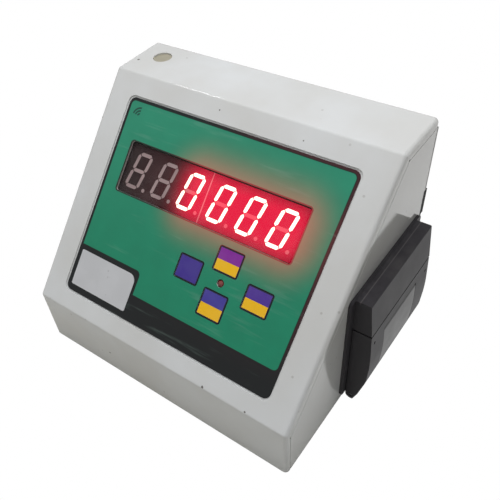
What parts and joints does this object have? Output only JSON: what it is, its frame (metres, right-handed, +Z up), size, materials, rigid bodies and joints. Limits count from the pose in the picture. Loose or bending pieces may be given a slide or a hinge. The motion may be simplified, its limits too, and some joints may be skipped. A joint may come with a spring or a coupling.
{
  "type": "weighing indicator",
  "caption": "Desktop weighing indicator: wedge-shaped sheet steel case, sloped membrane panel with red LED digits and keys, ticket printer on its side.",
  "frame": {"origin": "middle of the part's box, on the floor under the feet", "axes": "+X towards the printer side, +Y from the apron to the rear sockets, +Z up"},
  "size_m": [0.2302, 0.1756, 0.17],
  "materials": {
    "powder_coat": "off-white fine powder coat",
    "feet_rubber": "matt",
    "zinc_screws": "zinc plated",
    "cream_plug": "satin",
    "label_film": "satin printed film",
    "plate_film": "satin",
    "tinted_pane": "clear",
    "module_plastic": "satin",
    "lit_led": "glowing",
    "unlit_led": "milky",
    "board_green": "solder resist",
    "steel_plain": "plain",
    "led_red": "clear tinted",
    "black_plastic": "moulded",
    "key_film": "printed film",
    "plunger_plastic": "moulded",
    "chip_epoxy": "moulded",
    "capacitor_sleeve": "sleeve",
    "ribbon_pvc": "ribbed",
    "core_laminate": "laminated",
    "coil_tape": "taped",
    "battery_abs": "moulded",
    "sink_black": "black anodised",
    "contact_brass": "plated",
    "socket_nickel": "nickel plated",
    "printer_plastic": "dark grey moulded",
    "latch_plastic": "dark grey moulded",
    "platen_rubber": "ground",
    "gear_white": "acetal",
    "pinion_brass": "cut",
    "motor_can": "plated",
    "head_ceramic": "glazed",
    "roll_paper": "plain"
  },
  "bodies": {
    "case": {"front_cover": "powder_coat", "left_side_panel": "powder_coat", "right_side_panel": "powder_coat", "rear_panel": "powder_coat", "base_plate": "powder_coat", "rubber_feet": "feet_rubber", "case_screws": "zinc_screws", "top_plug": "cream_plug", "front_label": "label_film", "name_plate": "plate_film", "window_pane": "tinted_pane", "left_digit_module": "module_plastic", "right_digit_module": "module_plastic", "lit_segments": "lit_led", "unlit_segments": "unlit_led", "display_board": "board_green", "board_sleeves": "steel_plain", "board_nuts": "zinc_screws", "status_led": "led_red", "led_spacer": "black_plastic", "key_switches": "black_plastic", "main_board": "board_green", "board_chips": "chip_epoxy", "board_capacitors": "capacitor_sleeve", "board_spacers": "steel_plain", "ribbon_cable": "ribbon_pvc", "transformer_core": "core_laminate", "transformer_coil": "coil_tape", "battery": "battery_abs", "battery_strap": "steel_plain", "heat_sink": "sink_black", "power_inlet": "black_plastic", "inlet_pins": "contact_brass", "switch_housing": "black_plastic", "fuse_body": "black_plastic", "load_cell_socket": "socket_nickel", "serial_socket": "socket_nickel", "printer_frame": "printer_plastic", "printer_clamps": "steel_plain", "head_cover": "printer_plastic", "door_pin": "steel_plain", "print_motor": "motor_can", "print_head": "head_ceramic"},
    "upper_key_body": {"upper_key": "key_film", "upper_plunger": "plunger_plastic"},
    "left_key_body": {"left_key": "key_film", "left_plunger": "plunger_plastic"},
    "right_key_body": {"right_key": "key_film", "right_plunger": "plunger_plastic"},
    "lower_key_body": {"lower_key": "key_film", "lower_plunger": "plunger_plastic"},
    "rocker": {"switch_rocker": "black_plastic"},
    "fuse_carrier": {"fuse_cap": "black_plastic"},
    "door": {"paper_door": "printer_plastic", "latch_pin": "steel_plain"},
    "latch": {"door_latch": "latch_plastic"},
    "platen": {"platen_roller": "platen_rubber"},
    "idler": {"idler_gear": "gear_white"},
    "pinion": {"motor_pinion": "pinion_brass"},
    "roll": {"paper_roll": "roll_paper"}
  },
  "joints": [
    {"name": "upper_key_press", "type": "slide", "parent": "case", "child": "upper_key_body", "axis": [0, 0.71, -0.7042], "range_m": [0, 0.0006], "stiffness_N_per_m": 1500, "springref_m": -0.0001},
    {"name": "left_key_press", "type": "slide", "parent": "case", "child": "left_key_body", "axis": [0, 0.71, -0.7042], "range_m": [0, 0.0006], "stiffness_N_per_m": 1500, "springref_m": -0.0001},
    {"name": "right_key_press", "type": "slide", "parent": "case", "child": "right_key_body", "axis": [0, 0.71, -0.7042], "range_m": [0, 0.0006], "stiffness_N_per_m": 1500, "springref_m": -0.0001},
    {"name": "lower_key_press", "type": "slide", "parent": "case", "child": "lower_key_body", "axis": [0, 0.71, -0.7042], "range_m": [0, 0.0006], "stiffness_N_per_m": 1500, "springref_m": -0.0001},
    {"name": "rocker_tilt", "type": "hinge", "parent": "case", "child": "rocker", "pos_m": [-0.0001, 0.07295, 0.1087], "axis": [0, 0, 1], "range_deg": [0, 20]},
    {"name": "fuse_turn", "type": "hinge", "parent": "case", "child": "fuse_carrier", "pos_m": [-0.0281, 0.07855, 0.1087], "axis": [0, 1, 0], "range_deg": [0, 90]},
    {"name": "door_swing", "type": "hinge", "parent": "case", "child": "door", "pos_m": [0.1052, 0.0234, 0.0089], "axis": [0, 1, 0], "range_deg": [0, 60]},
    {"name": "latch_pull", "type": "hinge", "parent": "door", "child": "latch", "pos_m": [0.11132, 0.0234, 0.0652], "axis": [0, -1, 0], "range_deg": [0, 25], "stiffness_Nm_per_rad": 0.05, "springref_deg": -8.59},
    {"name": "platen_spin", "type": "hinge", "parent": "door", "child": "platen", "pos_m": [0.1047, 0.0234, 0.0706], "axis": [0, 1, 0], "continuous": true},
    {"name": "idler_spin", "type": "hinge", "parent": "case", "child": "idler", "pos_m": [0.0927, 0.05415, 0.0706], "axis": [0, 1, 0], "continuous": true},
    {"name": "pinion_spin", "type": "hinge", "parent": "case", "child": "pinion", "pos_m": [0.08668, 0.05415, 0.0792], "axis": [0, 1, 0], "continuous": true},
    {"name": "roll_spin", "type": "hinge", "parent": "case", "child": "roll", "pos_m": [0.0809, 0.0234, 0.0363], "axis": [0, 1, 0], "continuous": true}
  ],
  "couplings": [
    {"joint": "idler_spin", "follows": "platen_spin", "ratio": -0.6},
    {"joint": "pinion_spin", "follows": "platen_spin", "ratio": 1.5}
  ]
}
